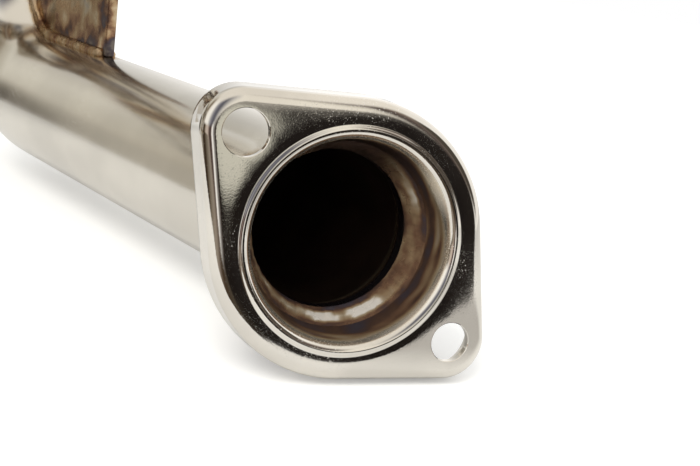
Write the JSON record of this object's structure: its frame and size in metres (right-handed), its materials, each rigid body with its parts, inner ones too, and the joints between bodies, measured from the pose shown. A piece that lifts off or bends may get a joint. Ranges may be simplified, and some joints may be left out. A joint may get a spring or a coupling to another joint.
{
  "type": "exhaust manifold",
  "caption": "Polished stainless tubular exhaust manifold with a merge collector, an elbowed outlet pipe and a stamped two-bolt outlet flange.",
  "frame": {"origin": "middle of the head flange's sealing face, on that face", "axes": "+Z out of the cylinder head, away from the sealing face; +Y along the row of ports; +X from the ports towards the collector"},
  "size_m": [0.5055, 0.5412, 0.2463],
  "materials": {
    "polished_tube": "mirror-polished stainless steel tube and stamping",
    "polished_plate": "polished laser-cut stainless plate",
    "weld_bead": "rippled silvery weld bead with a warm tint",
    "heat_tinted_steel": "brown and gold heat tint beside the welds",
    "machined_steel": "machined and plated steel",
    "copper": "soft copper sealing washer"
  },
  "bodies": {
    "root": {"head_flange": "polished_plate", "runner_1": "polished_tube", "port_weld_1": "weld_bead", "runner_2": "polished_tube", "port_weld_2": "weld_bead", "runner_3": "polished_tube", "port_weld_3": "weld_bead", "runner_4": "polished_tube", "port_weld_4": "weld_bead", "bundle_weld_upper": "weld_bead", "bundle_weld_lower": "weld_bead", "bundle_weld_left": "weld_bead", "bundle_weld_right": "weld_bead", "collector": "polished_tube", "collector_mouth_weld": "weld_bead", "merge_spike": "polished_plate", "sensor_boss": "machined_steel", "sensor_boss_weld": "weld_bead", "sensor_plug": "machined_steel", "plug_washer": "copper", "upper_elbow": "polished_tube", "collector_outlet_weld": "weld_bead", "riser_weld": "weld_bead", "outlet_flange": "polished_tube", "socket_weld": "heat_tinted_steel", "outlet_pipe": "polished_tube", "support_bracket": "heat_tinted_steel", "bracket_weld_left": "heat_tinted_steel", "bracket_weld_right": "heat_tinted_steel"}
  },
  "joints": []
}
